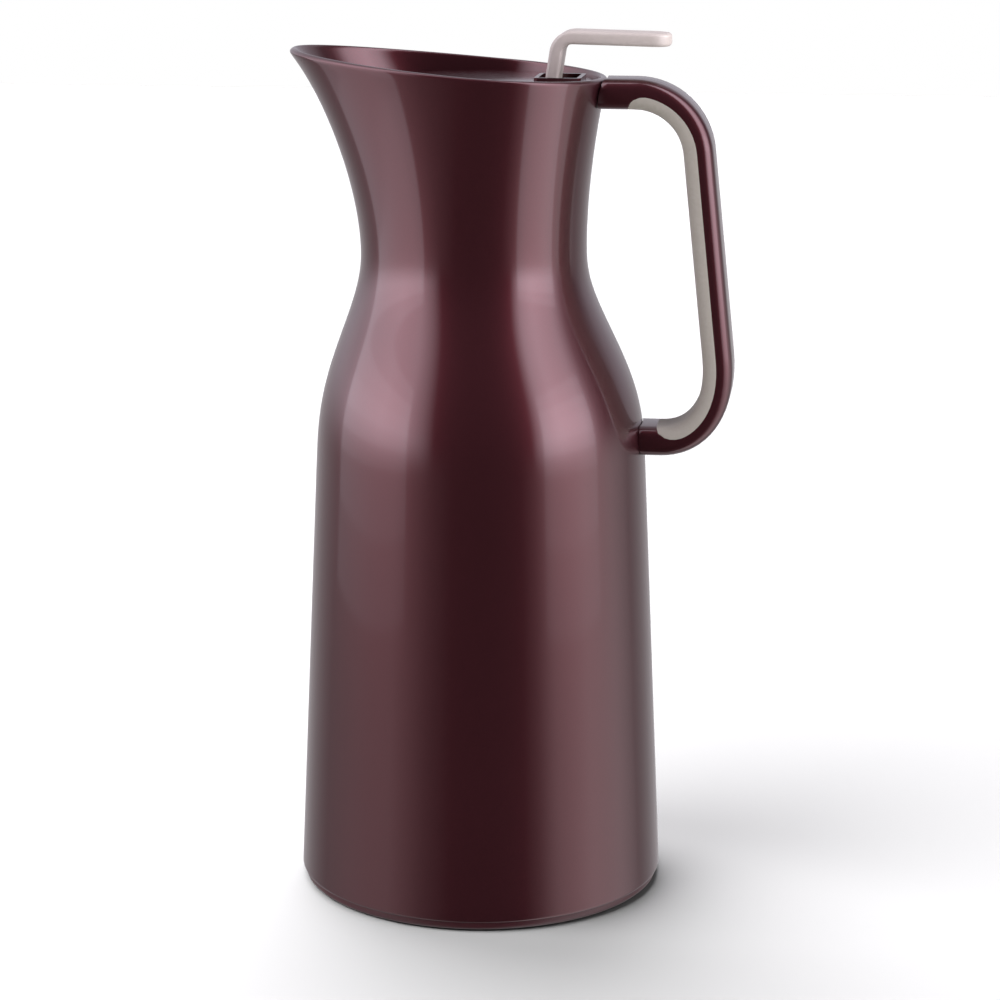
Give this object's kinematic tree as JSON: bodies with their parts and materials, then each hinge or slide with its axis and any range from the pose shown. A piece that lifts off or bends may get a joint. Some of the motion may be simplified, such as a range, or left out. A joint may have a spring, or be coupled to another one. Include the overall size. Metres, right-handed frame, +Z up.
{
  "type": "vacuum coffee jug",
  "caption": "Insulated pouring jug with a waisted round body, drawn-out spout, loop handle and a lift-out stopper whose thumb lever opens a spring valve.",
  "frame": {"origin": "on the floor plane, under the middle of the round base", "axes": "+Z up; -X towards the tip of the spout, +X towards the handle; the jug is symmetric about the XZ plane"},
  "size_m": [0.1531, 0.1286, 0.3001],
  "materials": {
    "burgundy_gloss": "high-gloss pearl lacquer on moulded plastic",
    "burgundy_inner": "moulded gloss plastic",
    "dark_plastic": "fine satin moulded plastic",
    "grip_soft": "soft-touch matt elastomer",
    "lever_plastic": "satin moulded plastic",
    "black_rubber": "matt rubber",
    "silicone": "translucent matt silicone",
    "silvered_glass": "silvered borosilicate glass",
    "steel": "plain stainless steel",
    "brass": "knurled brass",
    "white_plastic": "natural acetal",
    "felt": "pressed heat-proof felt"
  },
  "bodies": {
    "root": {"outer_shell": "burgundy_gloss", "base_cap": "burgundy_inner", "foot_ring": "black_rubber", "base_seal": "silicone", "liner_cushion": "black_rubber", "tip_guard": "black_rubber", "liner_outer_glass": "silvered_glass", "liner_inner_glass": "silvered_glass", "liner_spacers": "felt", "neck_gasket": "silicone", "neck_collar": "burgundy_inner", "collar_seal": "silicone", "handle_shell": "burgundy_gloss", "handle_grip": "grip_soft", "handle_inserts": "brass", "handle_screws": "steel"},
    "stopper": {"stopper_body": "dark_plastic", "stopper_plug": "dark_plastic", "stopper_cover": "burgundy_gloss", "stopper_seal": "silicone", "plug_seal": "silicone", "guide_bush": "white_plastic", "rod_gland": "silicone", "lever_pin": "steel", "valve_spring": "steel"},
    "lever": {"thumb_lever": "lever_plastic"},
    "valve": {"valve_rod": "steel", "lift_disc": "white_plastic", "rod_clip": "steel", "valve_head": "white_plastic", "valve_seal": "silicone"}
  },
  "joints": [
    {"name": "stopper_lift", "type": "slide", "parent": "root", "child": "stopper", "axis": [0, 0, 1], "range_m": [0, 0.1]},
    {"name": "thumb_lever", "type": "hinge", "parent": "stopper", "child": "lever", "pos_m": [0.022, 0, 0.2647], "axis": [0, 1, 0], "range_deg": [0, 11], "stiffness_Nm_per_rad": 0.02, "springref_deg": -15.58},
    {"name": "valve_lift", "type": "slide", "parent": "stopper", "child": "valve", "axis": [0, 0, 1], "range_m": [0, 0.0043], "deforming": ["valve_spring"]}
  ],
  "couplings": [
    {"joint": "valve_lift", "follows": "thumb_lever", "m_per_rad": 0.022}
  ]
}
